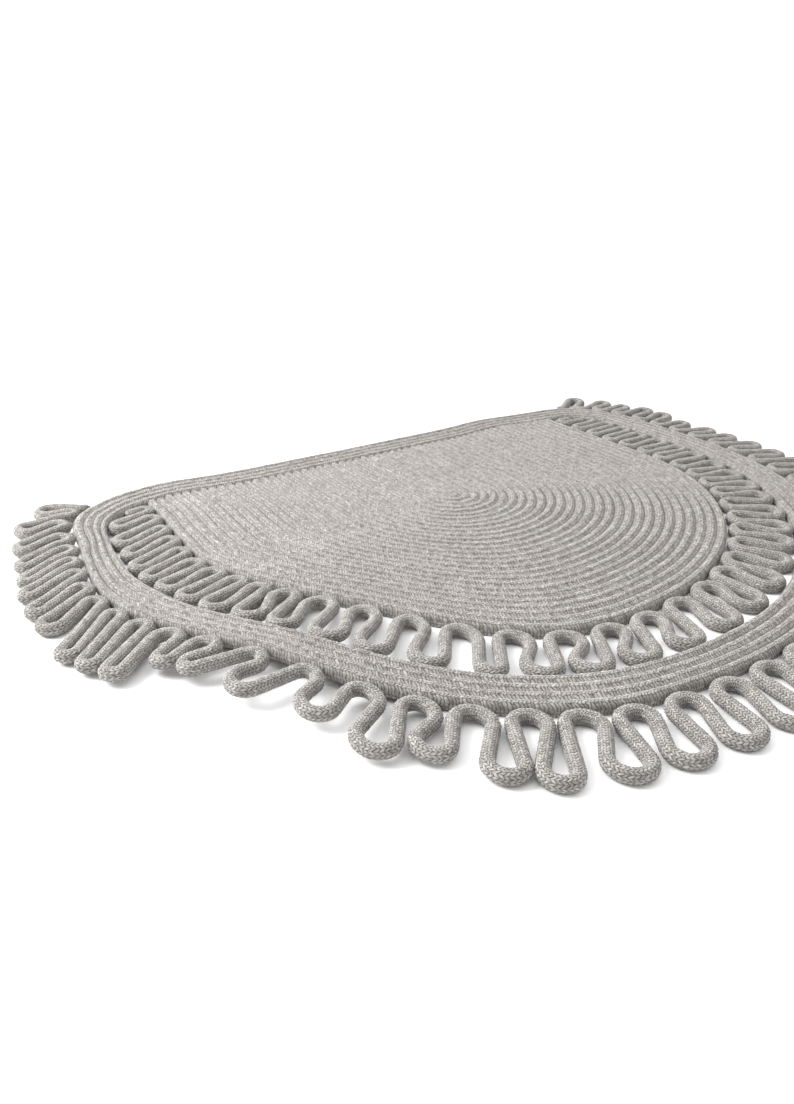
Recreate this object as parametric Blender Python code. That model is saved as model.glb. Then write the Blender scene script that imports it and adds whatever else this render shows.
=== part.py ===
"""Half-moon rug of braided cord: a centre panel of U-shaped cord rows, a four-row
border, one cord looped to and fro between them and one looped round the outside.

Metres, +Z up. The origin is on the underside, at the centre of the round front.
+X runs along the straight edge and +Y points to it.
"""

import math
import random

import bmesh
import bpy

# ---- driving sizes ---------------------------------------------------------
ROW = 0.0103                 # width of one sewn cord row in the centre panel
PANEL_ROWS = 28              # rows from the middle of the panel to its edge
PANEL_R = PANEL_ROWS * ROW   # radius of the panel's round front
CHORD_Y = 0.157              # arc centre to the line where the rows end
LOOP_BAND = 0.0658           # width of the looped band inside the border
BORDER_ROWS = 4
BORDER_ROW = 0.0098          # width of one sewn row in the border
CORNER_R = 0.0623            # inner radius of the border's two corners
CORD = 0.0104                # cord as built here: width of a looped strand
THICK = 0.0108               # height of every cord above the underside
GAP = 0.0006                 # left between neighbouring pieces
FOLD_GAP = 0.0010            # the same, where the inner cord's folds end
EDGE = 0.0022                # how far a cord's rounded top draws in at a free edge

BORDER_IN = PANEL_R + LOOP_BAND
BORDER_W = BORDER_ROWS * BORDER_ROW
BORDER_OUT = BORDER_IN + BORDER_W
CORNER_Y = CHORD_Y - CORNER_R
CORNER_X = BORDER_IN - CORNER_R

# How the rug lies: dented at the front left, a little full beside that, its
# border drawn in along the left side. Angles are round the arc centre, in
# degrees; the shifts are outwards, in millimetres, and fade out inside the panel.
LAY = (
    # at      panel's  border's  border's
    #         edge     inside    outside
    (-218.0,    0.0,     0.0,      0.0),
    (-205.0,   -5.0,    -5.0,     -8.0),
    (-195.5,   -1.0,    -3.0,    -18.0),
    (-188.0,    1.0,    -1.0,    -10.5),
    (-180.0,    1.0,     0.0,     -4.5),
    (-173.0,   -7.0,    -5.0,     -6.0),
    (-165.0,  -14.0,   -11.0,    -15.0),
    (-157.0,  -22.0,   -17.0,    -23.0),
    (-149.0,  -26.0,   -18.0,    -24.0),
    (-141.0,  -25.0,   -14.0,    -17.0),
    (-130.0,  -15.0,    -6.0,     -5.5),
    (-120.0,   -1.0,     2.0,      3.0),
    (-110.0,    9.0,     6.0,      8.5),
    (-100.0,    8.0,     4.0,      3.0),
    (-88.0,     2.0,     0.0,      0.0),
    (-60.0,    -2.0,    -3.0,     -3.0),
    (-20.0,     0.0,     0.0,      0.0),
    (17.0,     -3.0,    -3.0,     -3.0),
    (40.0,      0.0,     0.0,      0.0),
)
LAY_FROM = 0.06              # radius at which those shifts begin
# Waves of the straight edge, in metres.
EDGE_WAVES = (
    # at x     spread   push towards +Y
    (-0.254,   0.050,    0.0090),
    (-0.345,   0.040,   -0.0045),
    (0.200,    0.045,    0.0070),
    (0.300,    0.035,   -0.0030),
)
WAVES_FROM = 0.03            # y at which those waves begin

# The folds of the outer looped cord. "turn" is where the cord touches the
# border before a loop and "tip" where the loop's end lies, both as degrees
# round the border (-180 to 0 is the round front, the rest runs up the sides at
# the same pace). "reach" is how far the loop stands out past the border,
# "eye" the radius of the cord's middle line round the tip and "near" the same
# at the border.
OUTER_FOLDS = (
    # turn     tip      reach   eye     near
    (-209.0,   -206.2,  0.0512, 0.0115, 0.0056),
    (-205.6,   -201.2,  0.0562, 0.0095, 0.0058),
    (-200.7,   -196.5,  0.0577, 0.0079, 0.0090),
    (-195.5,   -191.8,  0.0577, 0.0059, 0.0093),
    (-191.1,   -186.8,  0.0588, 0.0057, 0.0074),
    (-187.2,   -182.6,  0.0615, 0.0056, 0.0057),
    (-183.3,   -178.0,  0.0624, 0.0062, 0.0062),
    (-179.1,   -174.0,  0.0639, 0.0074, 0.0071),
    (-175.1,   -167.4,  0.0780, 0.0057, 0.0060),
    (-170.8,   -164.1,  0.0790, 0.0056, 0.0056),
    (-166.4,   -160.9,  0.0790, 0.0056, 0.0062),
    (-161.7,   -158.4,  0.0505, 0.0066, 0.0087),
    (-156.4,   -154.9,  0.0492, 0.0080, 0.0108),
    (-149.9,   -148.0,  0.0552, 0.0125, 0.0108),
    (-142.8,   -140.0,  0.0529, 0.0130, 0.0110),
    (-136.2,   -133.7,  0.0717, 0.0132, 0.0130),
    (-130.5,   -128.8,  0.0632, 0.0118, 0.0126),
    (-125.2,   -122.9,  0.0758, 0.0118, 0.0124),
    (-119.9,   -118.8,  0.0806, 0.0109, 0.0110),
    (-114.9,   -113.0,  0.0752, 0.0117, 0.0118),
    (-109.7,   -107.5,  0.0709, 0.0119, 0.0104),
    (-104.0,   -101.7,  0.0699, 0.0118, 0.0108),
    (-98.1,    -95.9,  0.0705, 0.0118, 0.0110),
    (-92.1,    -89.9,  0.0715, 0.0116, 0.0112),
)
# Then a stretch of even folds, and the folds up the far side.
OUTER_RUNS = (
    # first    last     folds  lean   reach   eye     near
    (-86.0,   -32.2,   10,    1.5,   0.0700, 0.0112, 0.0112),
)
OUTER_FOLDS_FAR = (
    # turn   tip     reach   eye     near
    (-26.1,  -24.2,  0.0660, 0.0084, 0.0088),
    (-20.4,  -18.5,  0.0646, 0.0082, 0.0084),
    (-15.3,  -14.0,  0.0588, 0.0080, 0.0080),
    (-10.2,  -9.2,  0.0565, 0.0080, 0.0078),
    (-5.4,  -4.3,  0.0534, 0.0080, 0.0074),
    (-0.7,  0.1,  0.0528, 0.0078, 0.0072),
    (3.9,  5.9,  0.0500, 0.0078, 0.0072),
    (8.6,  12.0,  0.0600, 0.0076, 0.0072),
    (13.3,  15.7,  0.0590, 0.0074, 0.0072),
    (18.0,  19.0,  0.0509, 0.0074, 0.0076),
    (21.8,  22.2,  0.0557, 0.0076, 0.0070),
    (25.4,  26.4,  0.0576, 0.0087, 0.0070),
)
OUTER_END = 29.8             # where the outer cord is sewn down at the far corner

# The folds of the inner looped cord, between the panel and the border.
# "arch" is where it touches the panel and "tip" where the next fold touches
# the border; "eye" and "near" are the radii there.
INNER_START = (-0.3180, 0.1448)   # where the inner cord is sewn down at the near corner
INNER_FOLDS = (
    # arch     tip      eye     near
    (-200.3,  -197.2,  0.0080, 0.0060),
    (-196.4,  -191.4,  0.0085, 0.0080),
    (-191.9,  -186.7,  0.0075, 0.0066),
    (-187.6,  -182.5,  0.0068, 0.0074),
    (-183.3,  -178.5,  0.0066, 0.0066),
    (-178.7,  -174.0,  0.0078, 0.0066),
    (-173.3,  -169.2,  0.0078, 0.0078),
    (-167.9,  -164.0,  0.0090, 0.0072),
    (-163.0,  -158.0,  0.0100, 0.0064),
    (-157.3,  -152.1,  0.0095, 0.0090),
    (-150.1,  -144.9,  0.0125, 0.0125),
    (-142.0,  -137.9,  0.0118, 0.0125),
    (-133.7,  -130.2,  0.0120, 0.0125),
    (-125.7,  -122.3,  0.0062, 0.0125),
    (-118.1,  -115.7,  0.0118, 0.0121),
    (-110.7,  -109.2,  0.0125, 0.0125),
    (-103.4,  -102.1,  0.0125, 0.0119),
    (-96.0,  -94.2,  0.0125, 0.0125),
    (-88.1,  -85.7,  0.0125, 0.0125),
    (-79.9,  -77.9,  0.0125, 0.0125),
    (-72.3,  -69.7,  0.0125, 0.0116),
    (-65.1,  -61.9,  0.0120, 0.0123),
)
INNER_RUNS = (
    # first    last     folds  lean   eye     near
    (-57.7,   -37.1,   4,     0.2,   0.0112, 0.0106),
    (-31.1,   -13.2,   4,    -0.2,   0.0092, 0.0086),
)
INNER_FOLDS_FAR = (
    # arch     tip      eye     near
    (-7.3,     -4.8,    0.0080, 0.0070),
    (-2.2,      0.4,    0.0078, 0.0072),
    (2.7,       5.2,    0.0076, 0.0074),
    (7.0,       9.4,    0.0080, 0.0072),
    (11.3,      13.6,   0.0076, 0.0074),
    (15.6,      17.8,   0.0078, 0.0072),
)
INNER_LAST = 20.3            # its last touch on the panel
INNER_END = (0.3180, 0.1448)      # where the inner cord is sewn down at the far corner

SEED = 11
TURN_SIDES = 5               # straight pieces round one turn of a looped cord
EDGE_STEPS = 8               # straight pieces along the straight edge


# ---- the outline -----------------------------------------------------------
def spot(at, out):
    """Point at `out` past the border's outer edge, and the outward direction.

    `at` is in degrees round the front, and runs on up the sides and round the
    corners at the same pace.
    """
    pace = BORDER_OUT * math.pi / 180
    side = 1 if at > -90 else -1
    past = abs(at + 90) - 90          # degrees past the end of the round front
    if past <= 0:
        a = math.radians(at)
        n = (math.cos(a), math.sin(a))
        return (BORDER_OUT + out) * n[0], (BORDER_OUT + out) * n[1], n
    y = past * pace
    if y <= CORNER_Y:
        return side * (BORDER_OUT + out), y, (side, 0.0)
    a = (y - CORNER_Y) / (CORNER_R + BORDER_W)
    r = CORNER_R + BORDER_W + out
    n = (side * math.cos(a), math.sin(a))
    return side * CORNER_X + r * n[0], CORNER_Y + r * n[1], n


def lay_shifts(angle):
    """The three shifts at an angle, read smoothly between the rows of LAY."""
    k = max(i for i in range(len(LAY) - 1) if LAY[i][0] <= angle)
    rows = [LAY[max(k - 1, 0)], LAY[k], LAY[k + 1], LAY[min(k + 2, len(LAY) - 1)]]
    wide = rows[2][0] - rows[1][0]
    t = (angle - rows[1][0]) / wide
    found = []
    for c in (1, 2, 3):
        start = (rows[2][c] - rows[0][c]) / (rows[2][0] - rows[0][0]) * wide
        stop = (rows[3][c] - rows[1][c]) / (rows[3][0] - rows[1][0]) * wide
        found.append(
            (2 * t**3 - 3 * t**2 + 1) * rows[1][c] + (t**3 - 2 * t**2 + t) * start
            + (3 * t**2 - 2 * t**3) * rows[2][c] + (t**3 - t**2) * stop
        )
    return found


def uneven(x, y):
    """Where a point of the true half-moon lies once the rug is laid down."""
    r = math.hypot(x, y)
    angle = math.degrees(math.atan2(y, x))
    if angle > 90:
        angle -= 360
    k = 1.0
    if r > LAY_FROM and LAY[0][0] <= angle < LAY[-1][0]:
        panel, inside, outside = lay_shifts(angle)
        if r < PANEL_R:
            t = (r - LAY_FROM) / (PANEL_R - LAY_FROM)
            shift = panel * t * t * (2 - t)
        elif r < BORDER_IN:
            shift = panel + (inside - panel) * (r - PANEL_R) / LOOP_BAND
        else:
            shift = inside + (outside - inside) * min(1.0, (r - BORDER_IN) / BORDER_W)
        k += shift / 1000 / r
    up = 0.0
    if y > WAVES_FROM:
        grow = min(1.0, (y - WAVES_FROM) / (CHORD_Y - WAVES_FROM))
        up = grow * grow * sum(
            push * math.exp(-(((x - at) / spread) ** 2)) for at, spread, push in EDGE_WAVES
        )
    return x * k, y * k + up


def arm_and_arc(r, y_end, step, arm_steps):
    """Left side, round front and right side at radius r, as one open line."""
    n = int(180 / step)
    line = [(-r, y_end * (1 - i / arm_steps)) for i in range(arm_steps)]
    line += [
        (r * math.cos(math.radians(-180 + step * i)), r * math.sin(math.radians(-180 + step * i)))
        for i in range(n + 1)
    ]
    line += [(r, y_end * (i + 1) / arm_steps) for i in range(arm_steps)]
    return line


def half_moon(out, step=4.0, corner_steps=5, edge_steps=EDGE_STEPS):
    """The closed border line at `out` past the border's inner edge."""
    line = arm_and_arc(BORDER_IN + out, CORNER_Y, step, 4)
    r = CORNER_R + out
    for i in range(1, corner_steps + 1):
        a = math.pi / 2 * i / corner_steps
        line.append((CORNER_X + r * math.cos(a), CORNER_Y + r * math.sin(a)))
    for i in range(edge_steps + 1):
        line.append((PANEL_R * (1 - 2 * i / edge_steps), CHORD_Y + out))
    for i in range(corner_steps):
        a = math.pi / 2 * (1 + i / corner_steps)
        line.append((-CORNER_X + r * math.cos(a), CORNER_Y + r * math.sin(a)))
    return line


# ---- the looped cords ------------------------------------------------------
def spread_runs(runs, shake):
    """Rows of a table of even folds, made a little uneven."""
    rows = []
    for run in runs:
        first, last, folds, lean = run[:4]
        pitch = (last - first) / (folds - 1)
        for i in range(folds):
            turn = first + pitch * i + shake.uniform(-0.07, 0.07) * pitch
            tip = first + pitch * (i + 0.5) - lean + shake.uniform(-0.06, 0.06) * pitch
            rows.append([turn, tip] + list(run[4:]))
    return rows


def outer_pegs():
    """Circles that the outer cord is bent round: (x, y, radius, sense)."""
    shake = random.Random(SEED)
    rows = [list(row) for row in OUTER_FOLDS]
    for turn, tip, reach, eye, near in spread_runs(OUTER_RUNS, shake):
        rows.append([turn, tip, reach + shake.uniform(-0.004, 0.003), eye, near])
    rows += [list(row) for row in OUTER_FOLDS_FAR]
    pegs = []
    for turn, tip, reach, eye, near in rows:
        x, y, _ = spot(turn, near + CORD / 2 + GAP)
        pegs.append((x, y, near, -1))
        x, y, _ = spot(tip, reach - eye - CORD / 2)
        pegs.append((x, y, eye, 1))
    x, y, _ = spot(OUTER_END, 0.0070 + CORD / 2 + GAP)
    pegs.append((x, y, 0.0070, -1))
    return pegs


def inner_spot(at, back):
    """Point at `back` inside the border's inner edge, kept off its corners."""
    x, y, _ = spot(at, 0.0)
    side = 1 if at > -90 else -1
    if abs(at + 90) <= 90:
        a = math.radians(at)
        return (BORDER_IN - back) * math.cos(a), (BORDER_IN - back) * math.sin(a)
    y = (abs(at + 90) - 90) * BORDER_OUT * math.pi / 180
    if y <= CORNER_Y:
        return side * (BORDER_IN - back), y
    r = CORNER_R - back
    rise = min(y - CORNER_Y, 0.98 * r)
    return side * (CORNER_X + math.sqrt(r * r - rise * rise)), CORNER_Y + rise


def inner_pegs():
    shake = random.Random(SEED + 1)
    rows = [list(row) for row in INNER_FOLDS] + spread_runs(INNER_RUNS, shake)
    rows += [list(row) for row in INNER_FOLDS_FAR]
    pegs = [INNER_START + (0.0, 1)]
    for arch, tip, eye, near in rows:
        r = PANEL_R + near + CORD / 2 + FOLD_GAP
        pegs.append(panel_peg(arch, r) + (near, -1))
        pegs.append(inner_spot(tip, eye + CORD / 2 + FOLD_GAP) + (eye, 1))
    pegs.append(panel_peg(INNER_LAST, PANEL_R + 0.0060 + CORD / 2 + FOLD_GAP) + (0.0060, -1))
    pegs.append(INNER_END + (0.0, 1))
    return pegs


def panel_peg(at, r):
    """Point beside the panel, at radius r."""
    if abs(at + 90) <= 90:
        return r * math.cos(math.radians(at)), r * math.sin(math.radians(at))
    side = 1 if at > -90 else -1
    return side * r, (abs(at + 90) - 90) * BORDER_OUT * math.pi / 180


def bent_round(pegs, sides):
    """Middle line of a cord bent round pegs in turn, to alternate sides."""
    ways = []
    for (x1, y1, r1, s1), (x2, y2, r2, _) in zip(pegs, pegs[1:]):
        dx, dy = x2 - x1, y2 - y1
        ways.append(
            math.atan2(dy, dx) + math.asin(s1 * (r1 + r2) / math.hypot(dx, dy))
        )
    line = []
    for i, (x, y, r, sense) in enumerate(pegs):
        if r == 0:
            line.append((x, y))
            continue
        first = ways[i - 1] if i else ways[0] - sense * math.radians(100)
        last = ways[i] if i < len(ways) else ways[-1] + sense * math.radians(100)
        sweep = (sense * (last - first)) % (2 * math.pi)
        for k in range(sides + 1):
            a = first + sense * sweep * k / sides
            line.append((x + sense * r * math.sin(a), y - sense * r * math.cos(a)))
    return line


# ---- making solids ---------------------------------------------------------
def finish(name, bm, colour, roughness):
    bmesh.ops.recalc_face_normals(bm, faces=bm.faces)
    mesh = bpy.data.meshes.new(name)
    bm.to_mesh(mesh)
    bm.free()
    mesh.shade_smooth()
    mesh.set_sharp_from_angle(angle=math.radians(40))
    material = bpy.data.materials.new(name + "_cord")
    material.use_nodes = True
    shader = material.node_tree.nodes["Principled BSDF"]
    shader.inputs["Base Color"].default_value = (*colour, 1.0)
    shader.inputs["Roughness"].default_value = roughness
    shader.inputs["Metallic"].default_value = 0.0
    mesh.materials.append(material)
    piece = bpy.data.objects.new(name, mesh)
    rug.objects.link(piece)
    piece.parent = origin
    return piece


def ribbon(line, width, edge=0.0):
    """A flat-bottomed strand along an open line; its top may draw in by `edge`."""
    bm = bmesh.new()
    rings = []
    for i, (x, y) in enumerate(line):
        before = line[max(i - 1, 0)]
        after = line[min(i + 1, len(line) - 1)]
        t1 = unit(x - before[0], y - before[1]) if i else unit(after[0] - x, after[1] - y)
        t2 = unit(after[0] - x, after[1] - y) if i < len(line) - 1 else t1
        mx, my = unit(t1[0] + t2[0], t1[1] + t2[1])
        half = width / 2 / max(0.8, mx * t1[0] + my * t1[1])
        nx, ny = -my * half, mx * half
        rings.append([
            bm.verts.new((*uneven(x - nx, y - ny), 0.0)),
            bm.verts.new((*uneven(x + nx, y + ny), 0.0)),
            bm.verts.new((*uneven(x + nx, y + ny), THICK)),
            bm.verts.new((*uneven(x - nx, y - ny), THICK)),
        ])
    for one, two in zip(rings, rings[1:]):
        for k in range(4):
            bm.faces.new((one[k], one[(k + 1) % 4], two[(k + 1) % 4], two[k]))
    bm.faces.new(rings[0])
    bm.faces.new(reversed(rings[-1]))
    return bm


def unit(x, y):
    r = math.hypot(x, y)
    return x / r, y / r


def band(lines_and_heights):
    """A closed ring whose section runs through (line, height) pairs."""
    bm = bmesh.new()
    loops = [
        [bm.verts.new((*uneven(x, y), z)) for x, y in line] for line, z in lines_and_heights
    ]
    count = len(loops[0])
    for k, one in enumerate(loops):
        two = loops[(k + 1) % len(loops)]
        for i in range(count):
            j = (i + 1) % count
            bm.faces.new((one[i], one[j], two[j], two[i]))
    return bm


def slab(lines_and_heights):
    """A plate built up from closed lines, each at its height."""
    bm = bmesh.new()
    loops = [
        [bm.verts.new((*uneven(x, y), z)) for x, y in line] for line, z in lines_and_heights
    ]
    count = len(loops[0])
    for one, two in zip(loops, loops[1:]):
        for i in range(count):
            j = (i + 1) % count
            bm.faces.new((one[i], one[j], two[j], two[i]))
    bm.faces.new(loops[0])
    bm.faces.new(loops[-1])
    return bm


def panel_line(inset):
    """The centre panel's outline, drawn in by `inset`."""
    line = arm_and_arc(PANEL_R - inset, CHORD_Y - GAP - inset, 4.0, 8)
    line += [
        (PANEL_R * (1 - 2 * i / EDGE_STEPS), CHORD_Y - GAP - inset)
        for i in range(1, EDGE_STEPS)
    ]
    return line


# ---- the rug ---------------------------------------------------------------
for old in list(bpy.data.objects):
    bpy.data.objects.remove(old, do_unlink=True)
rug = bpy.data.collections.new("half_moon_rug")
bpy.context.scene.collection.children.link(rug)
origin = bpy.data.objects.new("rug_origin", None)
rug.objects.link(origin)

GREY = (0.45, 0.43, 0.40)

finish(
    "centre_panel",
    slab((
        (panel_line(0.0), 0.0),
        (panel_line(0.0), THICK - EDGE),
        (panel_line(EDGE), THICK),
    )),
    GREY, 0.92,
)

section = [(half_moon(EDGE * 0.4), 0.0), (half_moon(0.0), THICK * 0.5)]
for i in range(BORDER_ROWS):
    section.append((half_moon((i + 0.5) * BORDER_ROW), THICK))
    if i < BORDER_ROWS - 1:
        section.append((half_moon((i + 1) * BORDER_ROW), THICK - 0.0018))
section += [(half_moon(BORDER_W), THICK * 0.5), (half_moon(BORDER_W - EDGE * 0.4), 0.0)]
finish("border_band", band(section), (0.41, 0.39, 0.36), 0.92)

finish("inner_loops", ribbon(bent_round(inner_pegs(), TURN_SIDES), CORD), (0.38, 0.36, 0.33), 0.92)
finish("outer_loops", ribbon(bent_round(outer_pegs(), TURN_SIDES), CORD), (0.38, 0.36, 0.33), 0.92)
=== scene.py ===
"""Looks of the half-moon rug: braided cord sewn in rows, and cord folded into loops.

Metres, +Z up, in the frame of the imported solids.
"""
import math
import random

import bpy
import numpy as np
from mathutils import Matrix, Vector, noise


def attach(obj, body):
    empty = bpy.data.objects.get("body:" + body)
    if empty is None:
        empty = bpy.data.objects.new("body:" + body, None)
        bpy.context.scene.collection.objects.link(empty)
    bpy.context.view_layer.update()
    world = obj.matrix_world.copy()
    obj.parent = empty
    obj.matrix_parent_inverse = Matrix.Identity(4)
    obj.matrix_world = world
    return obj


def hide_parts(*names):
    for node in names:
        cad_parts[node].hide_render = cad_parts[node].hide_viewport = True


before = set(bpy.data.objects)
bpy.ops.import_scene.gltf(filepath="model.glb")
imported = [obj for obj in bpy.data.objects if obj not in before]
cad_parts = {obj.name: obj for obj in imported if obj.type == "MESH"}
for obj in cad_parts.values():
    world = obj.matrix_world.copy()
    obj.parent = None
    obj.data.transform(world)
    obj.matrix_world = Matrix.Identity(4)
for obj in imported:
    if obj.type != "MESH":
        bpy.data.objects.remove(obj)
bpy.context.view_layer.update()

# ---- driving sizes ---------------------------------------------------------
ROW = 0.0103                 # width of one sewn cord row in the centre panel
PANEL_ROWS = 28              # rows from the middle of the panel to its edge
PANEL_R = PANEL_ROWS * ROW   # radius of the panel's round front
CHORD_Y = 0.157              # arc centre to the line where the rows end
LOOP_BAND = 0.0658           # width of the looped band inside the border
BORDER_ROWS = 4
BORDER_ROW = 0.0098          # width of one sewn row in the border
CORNER_R = 0.0623            # inner radius of the border's two corners
CORD = 0.0104                # cord as built here: width of a looped strand
THICK = 0.0108               # height of every cord above the underside
GAP = 0.0006                 # left between neighbouring pieces
FOLD_GAP = 0.0010            # the same, where the inner cord's folds end
EDGE = 0.0022                # how far a cord's rounded top draws in at a free edge

BORDER_IN = PANEL_R + LOOP_BAND
BORDER_W = BORDER_ROWS * BORDER_ROW
BORDER_OUT = BORDER_IN + BORDER_W
CORNER_Y = CHORD_Y - CORNER_R
CORNER_X = BORDER_IN - CORNER_R

# How the rug lies: dented at the front left, a little full beside that, its
# border drawn in along the left side. Angles are round the arc centre, in
# degrees; the shifts are outwards, in millimetres, and fade out inside the panel.
LAY = (
    # at      panel's  border's  border's
    #         edge     inside    outside
    (-218.0,    0.0,     0.0,      0.0),
    (-205.0,   -5.0,    -5.0,     -8.0),
    (-195.5,   -1.0,    -3.0,    -18.0),
    (-188.0,    1.0,    -1.0,    -10.5),
    (-180.0,    1.0,     0.0,     -4.5),
    (-173.0,   -7.0,    -5.0,     -6.0),
    (-165.0,  -14.0,   -11.0,    -15.0),
    (-157.0,  -22.0,   -17.0,    -23.0),
    (-149.0,  -26.0,   -18.0,    -24.0),
    (-141.0,  -25.0,   -14.0,    -17.0),
    (-130.0,  -15.0,    -6.0,     -5.5),
    (-120.0,   -1.0,     2.0,      3.0),
    (-110.0,    9.0,     6.0,      8.5),
    (-100.0,    8.0,     4.0,      3.0),
    (-88.0,     2.0,     0.0,      0.0),
    (-60.0,    -2.0,    -3.0,     -3.0),
    (-20.0,     0.0,     0.0,      0.0),
    (17.0,     -3.0,    -3.0,     -3.0),
    (40.0,      0.0,     0.0,      0.0),
)
LAY_FROM = 0.06              # radius at which those shifts begin
# Waves of the straight edge, in metres.
EDGE_WAVES = (
    # at x     spread   push towards +Y
    (-0.254,   0.050,    0.0090),
    (-0.345,   0.040,   -0.0045),
    (0.200,    0.045,    0.0070),
    (0.300,    0.035,   -0.0030),
)
WAVES_FROM = 0.03            # y at which those waves begin

# The folds of the outer looped cord. "turn" is where the cord touches the
# border before a loop and "tip" where the loop's end lies, both as degrees
# round the border (-180 to 0 is the round front, the rest runs up the sides at
# the same pace). "reach" is how far the loop stands out past the border,
# "eye" the radius of the cord's middle line round the tip and "near" the same
# at the border.
OUTER_FOLDS = (
    # turn     tip      reach   eye     near
    (-209.0,   -206.2,  0.0512, 0.0115, 0.0056),
    (-205.6,   -201.2,  0.0562, 0.0095, 0.0058),
    (-200.7,   -196.5,  0.0577, 0.0079, 0.0090),
    (-195.5,   -191.8,  0.0577, 0.0059, 0.0093),
    (-191.1,   -186.8,  0.0588, 0.0057, 0.0074),
    (-187.2,   -182.6,  0.0615, 0.0056, 0.0057),
    (-183.3,   -178.0,  0.0624, 0.0062, 0.0062),
    (-179.1,   -174.0,  0.0639, 0.0074, 0.0071),
    (-175.1,   -167.4,  0.0780, 0.0057, 0.0060),
    (-170.8,   -164.1,  0.0790, 0.0056, 0.0056),
    (-166.4,   -160.9,  0.0790, 0.0056, 0.0062),
    (-161.7,   -158.4,  0.0505, 0.0066, 0.0087),
    (-156.4,   -154.9,  0.0492, 0.0080, 0.0108),
    (-149.9,   -148.0,  0.0552, 0.0125, 0.0108),
    (-142.8,   -140.0,  0.0529, 0.0130, 0.0110),
    (-136.2,   -133.7,  0.0717, 0.0132, 0.0130),
    (-130.5,   -128.8,  0.0632, 0.0118, 0.0126),
    (-125.2,   -122.9,  0.0758, 0.0118, 0.0124),
    (-119.9,   -118.8,  0.0806, 0.0109, 0.0110),
    (-114.9,   -113.0,  0.0752, 0.0117, 0.0118),
    (-109.7,   -107.5,  0.0709, 0.0119, 0.0104),
    (-104.0,   -101.7,  0.0699, 0.0118, 0.0108),
    (-98.1,    -95.9,  0.0705, 0.0118, 0.0110),
    (-92.1,    -89.9,  0.0715, 0.0116, 0.0112),
)
# Then a stretch of even folds, and the folds up the far side.
OUTER_RUNS = (
    # first    last     folds  lean   reach   eye     near
    (-86.0,   -32.2,   10,    1.5,   0.0700, 0.0112, 0.0112),
)
OUTER_FOLDS_FAR = (
    # turn   tip     reach   eye     near
    (-26.1,  -24.2,  0.0660, 0.0084, 0.0088),
    (-20.4,  -18.5,  0.0646, 0.0082, 0.0084),
    (-15.3,  -14.0,  0.0588, 0.0080, 0.0080),
    (-10.2,  -9.2,  0.0565, 0.0080, 0.0078),
    (-5.4,  -4.3,  0.0534, 0.0080, 0.0074),
    (-0.7,  0.1,  0.0528, 0.0078, 0.0072),
    (3.9,  5.9,  0.0500, 0.0078, 0.0072),
    (8.6,  12.0,  0.0600, 0.0076, 0.0072),
    (13.3,  15.7,  0.0590, 0.0074, 0.0072),
    (18.0,  19.0,  0.0509, 0.0074, 0.0076),
    (21.8,  22.2,  0.0557, 0.0076, 0.0070),
    (25.4,  26.4,  0.0576, 0.0087, 0.0070),
)
OUTER_END = 29.8             # where the outer cord is sewn down at the far corner

# The folds of the inner looped cord, between the panel and the border.
# "arch" is where it touches the panel and "tip" where the next fold touches
# the border; "eye" and "near" are the radii there.
INNER_START = (-0.3180, 0.1448)   # where the inner cord is sewn down at the near corner
INNER_FOLDS = (
    # arch     tip      eye     near
    (-200.3,  -197.2,  0.0080, 0.0060),
    (-196.4,  -191.4,  0.0085, 0.0080),
    (-191.9,  -186.7,  0.0075, 0.0066),
    (-187.6,  -182.5,  0.0068, 0.0074),
    (-183.3,  -178.5,  0.0066, 0.0066),
    (-178.7,  -174.0,  0.0078, 0.0066),
    (-173.3,  -169.2,  0.0078, 0.0078),
    (-167.9,  -164.0,  0.0090, 0.0072),
    (-163.0,  -158.0,  0.0100, 0.0064),
    (-157.3,  -152.1,  0.0095, 0.0090),
    (-150.1,  -144.9,  0.0125, 0.0125),
    (-142.0,  -137.9,  0.0118, 0.0125),
    (-133.7,  -130.2,  0.0120, 0.0125),
    (-125.7,  -122.3,  0.0062, 0.0125),
    (-118.1,  -115.7,  0.0118, 0.0121),
    (-110.7,  -109.2,  0.0125, 0.0125),
    (-103.4,  -102.1,  0.0125, 0.0119),
    (-96.0,  -94.2,  0.0125, 0.0125),
    (-88.1,  -85.7,  0.0125, 0.0125),
    (-79.9,  -77.9,  0.0125, 0.0125),
    (-72.3,  -69.7,  0.0125, 0.0116),
    (-65.1,  -61.9,  0.0120, 0.0123),
)
INNER_RUNS = (
    # first    last     folds  lean   eye     near
    (-57.7,   -37.1,   4,     0.2,   0.0112, 0.0106),
    (-31.1,   -13.2,   4,    -0.2,   0.0092, 0.0086),
)
INNER_FOLDS_FAR = (
    # arch     tip      eye     near
    (-7.3,     -4.8,    0.0080, 0.0070),
    (-2.2,      0.4,    0.0078, 0.0072),
    (2.7,       5.2,    0.0076, 0.0074),
    (7.0,       9.4,    0.0080, 0.0072),
    (11.3,      13.6,   0.0076, 0.0074),
    (15.6,      17.8,   0.0078, 0.0072),
)
INNER_LAST = 20.3            # its last touch on the panel
INNER_END = (0.3180, 0.1448)      # where the inner cord is sewn down at the far corner

SEED = 11
TURN_SIDES = 5               # straight pieces round one turn of a looped cord
EDGE_STEPS = 8               # straight pieces along the straight edge


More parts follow.
